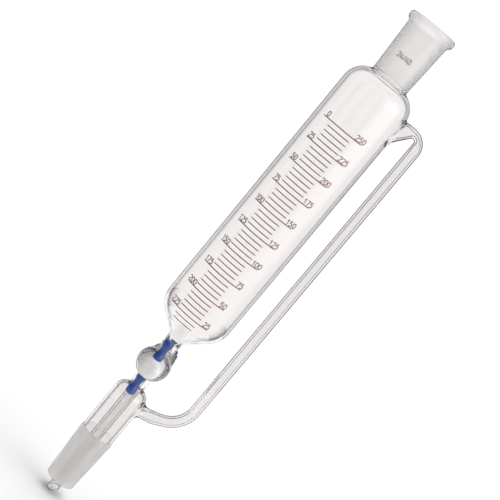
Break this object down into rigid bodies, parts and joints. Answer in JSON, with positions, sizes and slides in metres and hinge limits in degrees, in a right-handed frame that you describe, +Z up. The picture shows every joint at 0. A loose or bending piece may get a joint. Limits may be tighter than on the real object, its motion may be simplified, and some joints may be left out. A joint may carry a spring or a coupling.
{
  "type": "pressure-equalising dropping funnel",
  "caption": "Graduated glass dropping funnel with a pressure-equalising side arm, ground joints, drip tip and a PTFE stopcock that turns and comes undone.",
  "frame": {"origin": "centre of the lower ground cone's gauge plane, where it is 24 mm across", "axes": "+Z up the funnel's axis towards the socket, -Y the way the stopcock's head and the scale face, +X towards the side arm"},
  "size_m": [0.0664, 0.0571, 0.3797],
  "materials": {
    "clear_glass": "clear, polished by the flame",
    "ground_glass": "ground, frosted",
    "fired_enamel": "dark red-brown fired enamel, semi-matt",
    "white_ptfe": "turned PTFE, waxy",
    "blue_plastic": "moulded, satin",
    "black_rubber": "matt"
  },
  "bodies": {
    "glass_body": {"upper_socket": "ground_glass", "reservoir_shoulder": "clear_glass", "reservoir_cylinder": "clear_glass", "reservoir_bottom": "clear_glass", "outlet_stem": "clear_glass", "stopcock_barrel": "clear_glass", "drip_tube": "clear_glass", "vapour_jacket": "clear_glass", "lower_cone": "ground_glass", "side_arm": "clear_glass", "major_graduations": "fired_enamel", "minor_graduations": "fired_enamel", "left_numerals": "fired_enamel", "right_numerals": "fired_enamel", "joint_size_mark": "fired_enamel"},
    "plug": {"plug": "white_ptfe", "handle": "blue_plastic"},
    "seal_stack": {"keyed_washer": "white_ptfe", "o_ring": "black_rubber"},
    "nut": {"nut": "blue_plastic"}
  },
  "joints": [
    {"name": "plug_turn", "type": "hinge", "parent": "glass_body", "child": "plug", "pos_m": [0, 0, 0.0643], "axis": [0, 1, 0], "continuous": true},
    {"name": "seal_slide", "type": "slide", "parent": "plug", "child": "seal_stack", "axis": [0, 1, 0], "range_m": [0, 0.004]},
    {"name": "nut_turn", "type": "hinge", "parent": "seal_stack", "child": "nut", "pos_m": [0, 0, 0.0643], "axis": [0, 1, 0], "range_deg": [0, 720]}
  ],
  "couplings": [
    {"joint": "nut_turn", "follows": "seal_slide", "rad_per_m": 3141.6}
  ]
}
